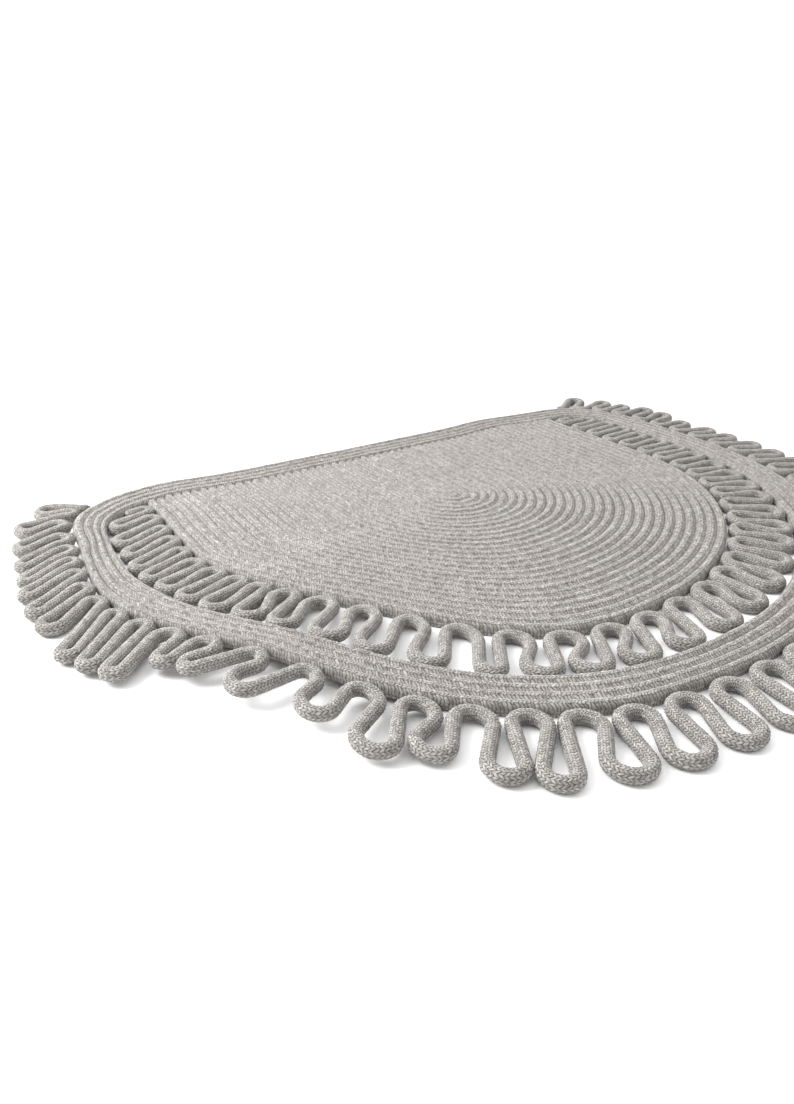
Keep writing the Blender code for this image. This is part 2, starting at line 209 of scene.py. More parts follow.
# ---- the outline -----------------------------------------------------------
def spot(at, out):
    """Point at `out` past the border's outer edge, and the outward direction.

    `at` is in degrees round the front, and runs on up the sides and round the
    corners at the same pace.
    """
    pace = BORDER_OUT * math.pi / 180
    side = 1 if at > -90 else -1
    past = abs(at + 90) - 90          # degrees past the end of the round front
    if past <= 0:
        a = math.radians(at)
        n = (math.cos(a), math.sin(a))
        return (BORDER_OUT + out) * n[0], (BORDER_OUT + out) * n[1], n
    y = past * pace
    if y <= CORNER_Y:
        return side * (BORDER_OUT + out), y, (side, 0.0)
    a = (y - CORNER_Y) / (CORNER_R + BORDER_W)
    r = CORNER_R + BORDER_W + out
    n = (side * math.cos(a), math.sin(a))
    return side * CORNER_X + r * n[0], CORNER_Y + r * n[1], n


def lay_shifts(angle):
    """The three shifts at an angle, read smoothly between the rows of LAY."""
    k = max(i for i in range(len(LAY) - 1) if LAY[i][0] <= angle)
    rows = [LAY[max(k - 1, 0)], LAY[k], LAY[k + 1], LAY[min(k + 2, len(LAY) - 1)]]
    wide = rows[2][0] - rows[1][0]
    t = (angle - rows[1][0]) / wide
    found = []
    for c in (1, 2, 3):
        start = (rows[2][c] - rows[0][c]) / (rows[2][0] - rows[0][0]) * wide
        stop = (rows[3][c] - rows[1][c]) / (rows[3][0] - rows[1][0]) * wide
        found.append(
            (2 * t**3 - 3 * t**2 + 1) * rows[1][c] + (t**3 - 2 * t**2 + t) * start
            + (3 * t**2 - 2 * t**3) * rows[2][c] + (t**3 - t**2) * stop
        )
    return found


def uneven(x, y):
    """Where a point of the true half-moon lies once the rug is laid down."""
    r = math.hypot(x, y)
    angle = math.degrees(math.atan2(y, x))
    if angle > 90:
        angle -= 360
    k = 1.0
    if r > LAY_FROM and LAY[0][0] <= angle < LAY[-1][0]:
        panel, inside, outside = lay_shifts(angle)
        if r < PANEL_R:
            t = (r - LAY_FROM) / (PANEL_R - LAY_FROM)
            shift = panel * t * t * (2 - t)
        elif r < BORDER_IN:
            shift = panel + (inside - panel) * (r - PANEL_R) / LOOP_BAND
        else:
            shift = inside + (outside - inside) * min(1.0, (r - BORDER_IN) / BORDER_W)
        k += shift / 1000 / r
    up = 0.0
    if y > WAVES_FROM:
        grow = min(1.0, (y - WAVES_FROM) / (CHORD_Y - WAVES_FROM))
        up = grow * grow * sum(
            push * math.exp(-(((x - at) / spread) ** 2)) for at, spread, push in EDGE_WAVES
        )
    return x * k, y * k + up


def arm_and_arc(r, y_end, step, arm_steps):
    """Left side, round front and right side at radius r, as one open line."""
    n = int(180 / step)
    line = [(-r, y_end * (1 - i / arm_steps)) for i in range(arm_steps)]
    line += [
        (r * math.cos(math.radians(-180 + step * i)), r * math.sin(math.radians(-180 + step * i)))
        for i in range(n + 1)
    ]
    line += [(r, y_end * (i + 1) / arm_steps) for i in range(arm_steps)]
    return line


def half_moon(out, step=4.0, corner_steps=5, edge_steps=EDGE_STEPS):
    """The closed border line at `out` past the border's inner edge."""
    line = arm_and_arc(BORDER_IN + out, CORNER_Y, step, 4)
    r = CORNER_R + out
    for i in range(1, corner_steps + 1):
        a = math.pi / 2 * i / corner_steps
        line.append((CORNER_X + r * math.cos(a), CORNER_Y + r * math.sin(a)))
    for i in range(edge_steps + 1):
        line.append((PANEL_R * (1 - 2 * i / edge_steps), CHORD_Y + out))
    for i in range(corner_steps):
        a = math.pi / 2 * (1 + i / corner_steps)
        line.append((-CORNER_X + r * math.cos(a), CORNER_Y + r * math.sin(a)))
    return line


# ---- the looped cords ------------------------------------------------------
def spread_runs(runs, shake):
    """Rows of a table of even folds, made a little uneven."""
    rows = []
    for run in runs:
        first, last, folds, lean = run[:4]
        pitch = (last - first) / (folds - 1)
        for i in range(folds):
            turn = first + pitch * i + shake.uniform(-0.07, 0.07) * pitch
            tip = first + pitch * (i + 0.5) - lean + shake.uniform(-0.06, 0.06) * pitch
            rows.append([turn, tip] + list(run[4:]))
    return rows


def outer_pegs():
    """Circles that the outer cord is bent round: (x, y, radius, sense)."""
    shake = random.Random(SEED)
    rows = [list(row) for row in OUTER_FOLDS]
    for turn, tip, reach, eye, near in spread_runs(OUTER_RUNS, shake):
        rows.append([turn, tip, reach + shake.uniform(-0.004, 0.003), eye, near])
    rows += [list(row) for row in OUTER_FOLDS_FAR]
    pegs = []
    for turn, tip, reach, eye, near in rows:
        x, y, _ = spot(turn, near + CORD / 2 + GAP)
        pegs.append((x, y, near, -1))
        x, y, _ = spot(tip, reach - eye - CORD / 2)
        pegs.append((x, y, eye, 1))
    x, y, _ = spot(OUTER_END, 0.0070 + CORD / 2 + GAP)
    pegs.append((x, y, 0.0070, -1))
    return pegs


def inner_spot(at, back):
    """Point at `back` inside the border's inner edge, kept off its corners."""
    x, y, _ = spot(at, 0.0)
    side = 1 if at > -90 else -1
    if abs(at + 90) <= 90:
        a = math.radians(at)
        return (BORDER_IN - back) * math.cos(a), (BORDER_IN - back) * math.sin(a)
    y = (abs(at + 90) - 90) * BORDER_OUT * math.pi / 180
    if y <= CORNER_Y:
        return side * (BORDER_IN - back), y
    r = CORNER_R - back
    rise = min(y - CORNER_Y, 0.98 * r)
    return side * (CORNER_X + math.sqrt(r * r - rise * rise)), CORNER_Y + rise


def inner_pegs():
    shake = random.Random(SEED + 1)
    rows = [list(row) for row in INNER_FOLDS] + spread_runs(INNER_RUNS, shake)
    rows += [list(row) for row in INNER_FOLDS_FAR]
    pegs = [INNER_START + (0.0, 1)]
    for arch, tip, eye, near in rows:
        r = PANEL_R + near + CORD / 2 + FOLD_GAP
        pegs.append(panel_peg(arch, r) + (near, -1))
        pegs.append(inner_spot(tip, eye + CORD / 2 + FOLD_GAP) + (eye, 1))
    pegs.append(panel_peg(INNER_LAST, PANEL_R + 0.0060 + CORD / 2 + FOLD_GAP) + (0.0060, -1))
    pegs.append(INNER_END + (0.0, 1))
    return pegs


def panel_peg(at, r):
    """Point beside the panel, at radius r."""
    if abs(at + 90) <= 90:
        return r * math.cos(math.radians(at)), r * math.sin(math.radians(at))
    side = 1 if at > -90 else -1
    return side * r, (abs(at + 90) - 90) * BORDER_OUT * math.pi / 180


def bent_round(pegs, sides):
    """Middle line of a cord bent round pegs in turn, to alternate sides."""
    ways = []
    for (x1, y1, r1, s1), (x2, y2, r2, _) in zip(pegs, pegs[1:]):
        dx, dy = x2 - x1, y2 - y1
        ways.append(
            math.atan2(dy, dx) + math.asin(s1 * (r1 + r2) / math.hypot(dx, dy))
        )
    line = []
    for i, (x, y, r, sense) in enumerate(pegs):
        if r == 0:
            line.append((x, y))
            continue
        first = ways[i - 1] if i else ways[0] - sense * math.radians(100)
        last = ways[i] if i < len(ways) else ways[-1] + sense * math.radians(100)
        sweep = (sense * (last - first)) % (2 * math.pi)
        for k in range(sides + 1):
            a = first + sense * sweep * k / sides
            line.append((x + sense * r * math.sin(a), y - sense * r * math.cos(a)))
    return line


# ---- how the rug lies -------------------------------------------------------
LIFTED = (
    # at      spread  height   from    full    sinks   flat
    #                          radius  at      from    at
    (-147.0,  15.0,   0.0092,  0.25,   0.36,   0.60,   0.70),
    (-192.0,  16.0,   0.0058,  0.33,   0.42,   0.40,   0.44),
)


LAY_ANGLES = np.arange(LAY[0][0], LAY[-1][0], 0.25)
LAY_SHIFTS = np.array([lay_shifts(a) for a in LAY_ANGLES]) / 1000


def uneven_all(x, y):
    """uneven() for arrays."""
    r = np.maximum(np.hypot(x, y), 1e-9)
    angle = np.degrees(np.arctan2(y, x))
    angle = np.where(angle > 90, angle - 360, angle)
    panel, inside, outside = (
        np.interp(angle, LAY_ANGLES, LAY_SHIFTS[:, c], left=0.0, right=0.0) for c in range(3)
    )
    t = np.clip((r - LAY_FROM) / (PANEL_R - LAY_FROM), 0, 1)
    shift = panel * t * t * (2 - t)
    shift = shift + (inside - panel) * np.clip((r - PANEL_R) / LOOP_BAND, 0, 1)
    shift = shift + (outside - inside) * np.clip((r - BORDER_IN) / BORDER_W, 0, 1)
    grow = np.clip((y - WAVES_FROM) / (CHORD_Y - WAVES_FROM), 0, 1)
    up = sum(push * np.exp(-(((x - at) / spread) ** 2)) for at, spread, push in EDGE_WAVES)
    k = 1 + shift / r
    return x * k, y * k + grow * grow * up


def lift(x, y):
    """How far the rug stands up off the floor at a point."""
    r = np.hypot(x, y)
    angle = np.degrees(np.arctan2(y, x))
    angle = np.where(angle > 90, angle - 360, angle)
    up = 0.0
    for at, spread, height, low, high, sinks, flat in LIFTED:
        grow = np.clip((r - low) / (high - low), 0, 1)
        fall = np.clip((flat - r) / (flat - sinks), 0, 1)
        grow = grow * grow * (3 - 2 * grow) * fall * fall * (3 - 2 * fall)
        up = up + height * grow * np.exp(-(((angle - at) / spread) ** 2))
    return np.minimum(up, 0.0095)


def waves(points, amount, size, seed):
    """A smooth random offset at each point, in x, y and z."""
    out = np.zeros(len(points))
    for i, (x, y, z) in enumerate(points):
        out[i] = amount * noise.noise((x / size + seed, y / size - seed, z / size + 3.1 * seed))
    return out


# ---- building meshes --------------------------------------------------------
class Cloth:
    """Vertices and faces of one piece, with two maps: "stitch" counts stitches
    along a cord and columns across it, "OFBake" lays the cords out as strips."""

    def __init__(self, name):
        self.name = name
        self.points, self.faces, self.stitch, self.strip = [], [], [], []
        self.count = 0

    def add(self, points):
        """Adds an array of points and returns the number of the first."""
        first = self.count
        self.points.append(np.asarray(points, float).reshape(-1, 3))
        self.count += len(self.points[-1])
        return first

    def face(self, ids, stitch, strip):
        """Adds faces: ids, and per corner the two maps."""
        self.faces.append(np.asarray(ids, int))
        self.stitch.append(np.asarray(stitch, float))
        self.strip.append(np.asarray(strip, float))

    def make(self, material):
        mesh = bpy.data.meshes.new(self.name)
        points = np.concatenate(self.points)
        sizes = np.concatenate([np.full(len(f), f.shape[1]) for f in self.faces])
        corners = np.concatenate([f.ravel() for f in self.faces])
        mesh.vertices.add(len(points))
        mesh.vertices.foreach_set("co", points.astype(np.float32).ravel())
        mesh.loops.add(len(corners))
        mesh.loops.foreach_set("vertex_index", corners.astype(np.int32))
        mesh.polygons.add(len(sizes))
        starts = np.concatenate([[0], np.cumsum(sizes)[:-1]])
        mesh.polygons.foreach_set("loop_start", starts.astype(np.int32))
        for layer, values in (("stitch", self.stitch), ("OFBake", self.strip)):
            made = mesh.uv_layers.new(name=layer)
            flat = np.concatenate([v.reshape(-1, 2) for v in values])
            made.uv.foreach_set("vector", flat.astype(np.float32).ravel())
        mesh.update(calc_edges=True)
        mesh.validate()
        mesh.shade_smooth()
        mesh.materials.append(material)
        piece = bpy.data.objects.new(self.name, mesh)
        bpy.context.scene.collection.objects.link(piece)
        return piece


class Line:
    """A plan line that can be read at any distance along it."""

    def __init__(self, xy, closed=False):
        xy = np.asarray(xy, float)
        if closed:
            xy = np.vstack([xy, xy[:1]])
        self.closed = closed
        self.at = np.concatenate([[0], np.cumsum(np.hypot(*np.diff(xy, axis=0).T))])
        self.xy = xy
        self.length = self.at[-1]

    def read(self, s):
        s = s % self.length if self.closed else np.clip(s, 0, self.length)
        return np.interp(s, self.at, self.xy[:, 0]), np.interp(s, self.at, self.xy[:, 1])

    def frame(self, s, reach=0.0006):
        """Point and unit left normal."""
        x, y = self.read(s)
        xa, ya = self.read(s - reach if self.closed else np.maximum(s - reach, 0))
        xb, yb = self.read(s + reach if self.closed else np.minimum(s + reach, self.length))
        dx, dy = xb - xa, yb - ya
        d = np.maximum(np.hypot(dx, dy), 1e-9)
        return x, y, -dy / d, dx / d


# ---- the looped cords -------------------------------------------------------
STITCH = 0.0027        # length of one stitch along the cord
COLUMNS = 16           # columns of stitches round a looped cord
SLANT = 0.0020         # how far a stitch leans along the cord across one column
PER_STITCH = 2         # rings to a stitch


def fuller(pegs, most=0.0022, apart=0.0104):
    """Opens each turn into the free room beside it, its far side kept where it is."""
    grow, draw = [], []
    for i, (x, y, r, sense) in enumerate(pegs):
        room = [
            math.hypot(x - pegs[k][0], y - pegs[k][1]) - r - pegs[k][2] - 0.0109
            for k in (i - 2, i + 2)
            if 0 <= k < len(pegs) and pegs[k][2]
        ]
        # At its corners the border curves in, and the inner turns have no room to open.
        cornered = y > 0.045 and math.hypot(x, y) < (BORDER_IN + BORDER_OUT) / 2
        draw.append(0.0021 if cornered and x < 0 and sense > 0 and r else 0.0)
        if r == 0 or not room or cornered or not 0 < i < len(pegs) - 1:
            grow.append(0.0)
            continue
        reach = [
            math.hypot(x - pegs[k][0], y - pegs[k][1]) - r - pegs[k][2] - 0.010
            for k in (i - 1, i + 1)
        ]
        grow.append(min(most, max(0.0, 0.42 * min(room)), max(0.0, 0.2 * min(reach))))
    for _ in range(16):
        wider = []
        for i, (x, y, r, sense) in enumerate(pegs):
            if grow[i] or draw[i]:
                mx = (pegs[i - 1][0] + pegs[i + 1][0]) / 2 - x
                my = (pegs[i - 1][1] + pegs[i + 1][1]) / 2 - y
                far = math.hypot(mx, my)
                back = grow[i] + draw[i]
                x, y = x + back * mx / far, y + back * my / far
            wider.append((x, y, r + grow[i], sense))
        # A turn that crowds the next strand gives some of its room back.
        line, owner = np.array(bent_round(wider, 14)), []
        for i, peg in enumerate(wider):
            owner += [i] * (1 if peg[2] == 0 else 15)
        along = np.concatenate([[0], np.cumsum(np.hypot(*np.diff(line, axis=0).T))])
        at = np.arange(0, along[-1], 0.0015)
        x, y = np.interp(at, along, line[:, 0]), np.interp(at, along, line[:, 1])
        x, y = uneven_all(x, y)
        near = np.interp(at, along, owner)
        gaps = np.hypot(x[:, None] - x, y[:, None] - y)
        close, _ = np.nonzero((gaps < apart) & (at[:, None] - at > 0.026) | (gaps < apart) & (at - at[:, None] > 0.026))
        if not len(close):
            break
        for i in set(np.floor(near[close]).astype(int)) | set(np.ceil(near[close]).astype(int)):
            grow[i] = 0.6 * grow[i] if grow[i] > 0.0001 else 0.0
    return wider


def looped_cord(name, pegs, seed, material, wide=0.01075, tall=0.0112):
    """A round braided cord along the bent line, its stitches standing out."""
    dense = np.array(bent_round(fuller(pegs), 14))
    x, y = uneven_all(dense[:, 0], dense[:, 1])
    line = Line(np.stack([x, y], 1))
    rings = int(round(line.length / (STITCH / PER_STITCH)))
    sides = COLUMNS
    step = line.length / rings
    rng = np.random.default_rng(seed)
    i = np.arange(rings + 1)
    j = np.arange(sides)
    # Ring i zigzags along the cord from column to column, so that edges follow the stitches.
    lean = np.where(j % 2 == 0, 1.0, -1.0) * SLANT / 2
    s = i[:, None] * step + lean[None, :]
    s = np.clip(s, 0, line.length)
    px, py, nx, ny = line.frame(s)
    # The braid turns slowly on its own axis.
    knots = np.arange(0, rings + 400, 400)
    turn = np.cumsum(rng.normal(0, 0.35, len(knots)))
    twist = np.interp(i, knots, turn)[:, None]
    angle = 2 * math.pi * j[None, :] / sides + twist
    along = i % PER_STITCH
    pillow = np.array([-1.0, 1.0])[along][:, None]
    relief = 0.00020 * pillow + rng.normal(0, 0.00009, (rings + 1, sides))
    # Each end is rounded off.
    end = np.minimum(i, rings - i) * step
    close = np.sqrt(np.clip(1 - (1 - np.clip(end / 0.004, 0, 1)) ** 2, 0, 1))[:, None]
    swell = 1 + np.interp(i, knots, rng.normal(0, 0.012, len(knots)))[:, None]
    out = (wide / 2 * swell + relief) * (0.06 + 0.94 * close)
    up = (tall / 2 * swell + relief) * (0.06 + 0.94 * close)
    vx = px + nx * out * np.cos(angle)
    vy = py + ny * out * np.cos(angle)
    base = lift(px, py)
    vz = base + tall / 2 + up * np.sin(angle)
    # A soft cord lies a little flat on the floor.
    vz = np.where(vz - base < 0.0004, base + 0.0004 + 0.25 * (vz - base - 0.0004), vz)
    vz = np.maximum(vz, 0.0)
    cloth = Cloth(name)
    cloth.add(np.stack([vx, vy, vz], 2))
    ring = i[:-1]
    ids = np.zeros((rings, sides, 4), int)
    a = ring[:, None] * sides
    ids[..., 0] = a + j
    ids[..., 1] = a + (j + 1) % sides
    ids[..., 2] = a + sides + (j + 1) % sides
    ids[..., 3] = a + sides + j
    u0 = (ring / PER_STITCH)[:, None] + 0 * j
    u1 = ((ring + 1) / PER_STITCH)[:, None] + 0 * j
    v0 = 0 * ring[:, None] + j
    v1 = v0 + 1
    stitch = np.stack([np.stack([u0, v0], 2), np.stack([u0, v1], 2), np.stack([u1, v1], 2), np.stack([u1, v0], 2)], 2)
    lanes = max(1, int(round(math.sqrt(line.length / 0.036))))
    each = math.ceil(rings / lanes)
    lane, place = ring // each, ring % each
    def spot_on(p, col):
        return np.stack([0.002 + 0.996 * p / each + 0 * col, (lane[:, None] + 0.03 + 0.94 * col / sides) / lanes + 0 * p], 2)
    p0, p1 = place[:, None], place[:, None] + 1
    strip = np.stack([spot_on(p0, j + 0.0), spot_on(p0, j + 1.0), spot_on(p1, j + 1.0), spot_on(p1, j + 0.0)], 2)
    cloth.face(ids.reshape(-1, 4), stitch.reshape(-1, 4, 2), strip.reshape(-1, 4, 2))
    for k, order in ((0, list(range(sides))[::-1]), (rings, list(range(sides)))):
        ids = np.array([[k * sides + c for c in order]])
        spot2 = np.array([[[0.5 + 0.001 * math.cos(c), 0.5 + 0.001 * math.sin(c)] for c in range(sides)]])
        cloth.face(ids, np.zeros((1, sides, 2)), spot2)
    return cloth.make(material)


# ---- rows sewn side by side -------------------------------------------------
ROW_RINGS = 2          # rings to a stitch in a sewn row
ROW_COLUMNS = 4        # columns of stitches across a sewn row


class Path:
    """Parallel rows: each is made of the same stretches, straight ones and turns.

    A stretch is (kind, length or angle, start, direction or centre, reach): rows
    at another offset have the same straight stretches and wider turns.
    """

    def __init__(self, stretches, closed):
        self.stretches, self.closed = stretches, closed

    def lengths(self, out):
        return np.array([
            size if kind == "way" else abs(size) * (radius + out)
            for kind, size, _, _, radius in self.stretches
        ])

    def read(self, s, row_out, out):
        """Plan points for distances s along the row at row_out, at offset out."""
        lengths = self.lengths(row_out)
        ends = np.concatenate([[0], np.cumsum(lengths)])
        s = s % ends[-1] if self.closed else np.clip(s, 0, ends[-1])
        part = np.clip(np.searchsorted(ends, s, side="right") - 1, 0, len(lengths) - 1)
        f = (s - ends[part]) / lengths[part]
        x, y = np.zeros(s.shape), np.zeros(s.shape)
        out = out + 0 * s
        for k, (kind, size, a, b, radius) in enumerate(self.stretches):
            here = part == k
            if kind == "way":  # a: start on the zero line, b: direction; the row lies to the right
                x[here] = a[0] + b[0] * size * f[here] + b[1] * out[here]
                y[here] = a[1] + b[1] * size * f[here] - b[0] * out[here]
            else:  # a: centre, b: first angle
                angle = b + size * f[here]
                x[here] = a[0] + (radius + out[here]) * np.cos(angle)
                y[here] = a[1] + (radius + out[here]) * np.sin(angle)
        return x, y, part + f


U_PATH = Path((
    ("way", CHORD_Y - GAP, (0.0, CHORD_Y - GAP), (0.0, -1.0), 0.0),
    ("turn", math.pi, (0.0, 0.0), math.pi, 0.0),
    ("way", CHORD_Y - GAP, (0.0, 0.0), (0.0, 1.0), 0.0),
), False)
RING_PATH = Path((
    ("way", CORNER_Y, (-BORDER_IN, CORNER_Y), (0.0, -1.0), 0.0),
    ("turn", math.pi, (0.0, 0.0), math.pi, BORDER_IN),
    ("way", CORNER_Y, (BORDER_IN, 0.0), (0.0, 1.0), 0.0),
    ("turn", math.pi / 2, (CORNER_X, CORNER_Y), 0.0, CORNER_R),
    ("way", 2 * CORNER_X, (CORNER_X, CHORD_Y), (-1.0, 0.0), 0.0),
    ("turn", math.pi / 2, (-CORNER_X, CORNER_Y), math.pi / 2, CORNER_R),
), True)


def sewn_rows(name, path, rows, row, seed, material, deep, planar):
    """Rows of braided cord sewn side by side, as one closed mat."""
    rng = np.random.default_rng(seed)
    cloth = Cloth(name)
    points, edges, ends = [], [], []
    for k in range(rows):
        middle = (k + 0.5) * row
        length = path.lengths(middle).sum()
        rings = int(round(length / (STITCH / ROW_RINGS)))
        rings += -rings % ROW_RINGS
        across = [0.06, 0.27, 0.5, 0.73, 0.94]
        height = [-deep, -0.00030, 0.0, -0.00030, -deep]
        stand = [0.3, 1.0, 1.0, 1.0, 0.3]
        lean = [1.0, -1.0, 1.0, -1.0, 1.0]
        if k == 0 and path.closed:
            across = [0.0, 0.10] + across[1:]
            height = [-THICK * 0.5, -0.0030] + height[1:]
            stand, lean = [0.4, 0.8] + stand[1:], [1.0, 0.8] + lean[1:]
        if k == rows - 1:
            across = across[:-1] + [0.90, 1.0]
            height = height[:-1] + [-0.0030, -THICK * 0.5]
            stand, lean = stand[:-1] + [0.8, 0.4], lean[:-1] + [0.8, 1.0]
        across, height, stand, lean = map(np.array, (across, height, stand, lean))
        count = rings if path.closed else rings + 1
        i = np.arange(count)
        start = rng.uniform(0, STITCH) if path.closed else 0.0
        s = start + i[:, None] * (length / rings) + lean[None, :] * SLANT * 0.45
        x, y, param = path.read(s, middle, middle + (across - 0.5)[None, :] * row)
        if path.closed and k >= 0:
            param = np.where(param - param[:1] < -3, param + len(path.stretches), param)
        x, y = uneven_all(x, y)
        pillow = np.array([-1.0, 1.0])[i % ROW_RINGS][:, None]
        uneven_yarn = rng.normal(0, 0.00010, (count, len(across)))
        knots = np.arange(0, rings + 60, 60)
        sway = np.interp(i, knots, rng.normal(0, 0.00022, len(knots)))[:, None]
        z = lift(x, y) + THICK + height[None, :] + (0.00022 * pillow + uneven_yarn + sway) * stand[None, :]
        first = cloth.add(np.stack([x, y, z], 2))
        wide = len(across)
        a = np.arange(rings)[:, None]
        b = (a + 1) % count
        c = np.arange(wide - 1)[None, :]
        ids = np.stack([first + a * wide + c, first + a * wide + c + 1, first + b * wide + c + 1, first + b * wide + c], 2)
        # The free sides of the outermost rows carry on the pattern of their tops.
        col = ROW_COLUMNS * (k + np.where(across > 0.9, 0.63 + 0.3 * across, np.where(across < 0.1, 0.07 + 0.3 * across, across)))
        u0, u1 = a / ROW_RINGS + 0 * c, (a + 1) / ROW_RINGS + 0 * c
        v0, v1 = col[:-1][None, :] + 0 * a, col[1:][None, :] + 0 * a
        stitch = np.stack([np.stack([u0, v0], 2), np.stack([u0, v1], 2), np.stack([u1, v1], 2), np.stack([u1, v0], 2)], 2)
        flat = np.stack([x, y], 2).reshape(-1, 2)
        ids = ids.reshape(-1, 4)
        cloth.face(ids, stitch.reshape(-1, 4, 2), planar(flat[ids - first]))
        points.append(np.stack([x, y, z], 2).reshape(-1, 3))
        inner = first + np.arange(count) * wide
        edges.append((inner, param[:, 0], inner + wide - 1, param[:, -1], col[0], col[-1]))
        ends.append((first + np.arange(wide), first + rings * wide + np.arange(wide)))
    everything = np.concatenate(points)

    def zip_rows(one, at_one, two, at_two, turned=False, v=0.0):
        """Triangles between two edges that run the same way."""
        n, m, i, j, found = len(one), len(two), 0, 0, []
        last_i, last_j = (n, m) if path.closed else (n - 1, m - 1)
        wrap = len(path.stretches)
        at = lambda where, k: where[k % len(where)] + wrap * (k // len(where))
        while i < last_i or j < last_j:
            if j >= last_j or (i < last_i and at(at_one, i + 1) < at(at_two, j + 1)):
                found.append((one[i % n], two[j % m], one[(i + 1) % n]))
                i += 1
            else:
                found.append((one[i % n], two[j % m], two[(j + 1) % m]))
                j += 1
        ids = np.array(found)
        return ids[:, ::-1] if turned else ids

    for k in range(rows - 1):
        _, _, one, at_one, _, v = edges[k]
        two, at_two = edges[k + 1][:2]
        ids = zip_rows(one, at_one, two, at_two)
        stitch = np.zeros((len(ids), 3, 2))
        stitch[..., 1] = v
        cloth.face(ids, stitch, planar(everything[ids][..., :2]))

    def wall(loop, out, into):
        """A loop of edge points carried down to the floor; into is how far in the foot stands."""
        top = everything[loop]
        after, before = np.roll(top, -1, 0), np.roll(top, 1, 0)
        way = (after - before)[:, :2]
        way /= np.maximum(np.linalg.norm(way, axis=1, keepdims=True), 1e-9)
        side = np.stack([way[:, 1], -way[:, 0]], 1) * out
        foot = top.copy()
        foot[:, :2] -= side * into
        foot[:, 2] = lift(foot[:, 0], foot[:, 1])
        first = cloth.add(foot)
        n = len(loop)
        a, b = np.arange(n), (np.arange(n) + 1) % n
        ids = np.stack([first + a, first + b, loop[b], loop[a]], 1)
        place = top[:, :2] + side * 0.008
        uv = np.stack([place[a], place[b], top[b, :2], top[a, :2]], 1)
        if out < 0:
            ids, uv = ids[:, ::-1], uv[:, ::-1]
        stitch = np.zeros((n, 4, 2))
        run = np.arange(n) / ROW_RINGS
        stitch[..., 0] = np.stack([run, run + 1 / ROW_RINGS, run + 1 / ROW_RINGS, run], 1)
        stitch[..., 1] = np.array([1.2, 1.2, 2.8, 2.8]) if out > 0 else np.array([2.8, 2.8, 1.2, 1.2])
        cloth.face(ids, stitch, planar(uv))
        return first + a, foot

    if path.closed:
        inner, outer = edges[0], edges[-1]
        low_in, foot_in = wall(inner[0], -1, 0.0006)
        low_out, foot_out = wall(outer[2], 1, 0.0006)
        ids = zip_rows(low_in, inner[1], low_out, outer[3], turned=True)
        both = np.concatenate([everything, foot_in, foot_out])
        cloth.face(ids, np.zeros((len(ids), 3, 2)), planar(both[ids][..., :2] * 0.5))
    else:
        # The middle groove of the innermost row is closed across.
        line = edges[0][0]
        n = len(line) - 1
        half = n // 2
        a = np.arange(half)
        ids = np.stack([line[a], line[a + 1], line[n - a - 1], line[n - a]], 1)
        ids = ids[(ids[:, 1] != ids[:, 2])]
        cloth.face(ids, np.zeros((len(ids), 4, 2)), planar(everything[ids][..., :2]))
        if n % 2 == 0:
            tri = np.array([[line[half - 1], line[half], line[half + 1]]])
            cloth.face(tri, np.zeros((1, 3, 2)), planar(everything[tri][..., :2]))
        loop = list(edges[-1][2])
        for k in range(rows - 1, -1, -1):
            loop += [v for v in ends[k][1][::-1] if v not in loop[-1:]]
        for k in range(rows):
            loop += [v for v in ends[k][0] if v not in loop[-1:]]
        loop = np.array(loop[:-1] if loop[-1] == loop[0] else loop)
        low, foot = wall(loop, 1, 0.0002)
        under = foot[::-1, :2] * 0.2 + np.array([0.0, 0.262])
        cloth.face(low[::-1][None, :], np.zeros((1, len(low), 2)), planar(under[None]))
    return cloth.make(material)


# ---- materials --------------------------------------------------------------
class Nodes:
    """Short names for building a node tree."""

    def __init__(self, material):
        self.tree = material.node_tree

    def add(self, kind, **values):
        node = self.tree.nodes.new(kind)
        for key, value in values.items():
            setattr(node, key, value)
        return node

    def link(self, source, target):
        self.tree.links.new(source, target)

    def math(self, operation, a, b=None, c=None, clamp=False):
        node = self.add("ShaderNodeMath", operation=operation, use_clamp=clamp)
        for socket, value in zip(node.inputs, (a, b, c)):
            if value is None:
                continue
            if isinstance(value, (int, float)):
                socket.default_value = value
            else:
                self.link(value, socket)
        return node.outputs[0]

    def mix(self, factor, a, b, blend="MIX"):
        node = self.add("ShaderNodeMix", data_type="RGBA", blend_type=blend)
        for name, value in (("Factor", factor), ("A", a), ("B", b)):
            socket = next(s for s in node.inputs if s.name == name and s.type in (("VALUE",) if name == "Factor" else ("RGBA",)))
            if isinstance(value, (int, float)):
                socket.default_value = value
            elif isinstance(value, tuple):
                socket.default_value = (*value, 1.0)
            else:
                self.link(value, socket)
        return next(s for s in node.outputs if s.type == "RGBA")

    def noise(self, vector, scale, detail=2.0, rough=0.5):
        node = self.add("ShaderNodeTexNoise")
        node.inputs["Scale"].default_value = scale
        node.inputs["Detail"].default_value = detail
        node.inputs["Roughness"].default_value = rough
        self.link(vector, node.inputs["Vector"])
        return node.outputs[0]

    def vector(self, x, y, z=0.0):
        node = self.add("ShaderNodeCombineXYZ")
        for socket, value in zip(node.inputs, (x, y, z)):
            if isinstance(value, (int, float)):
                socket.default_value = value
            else:
                self.link(value, socket)
        return node.outputs[0]


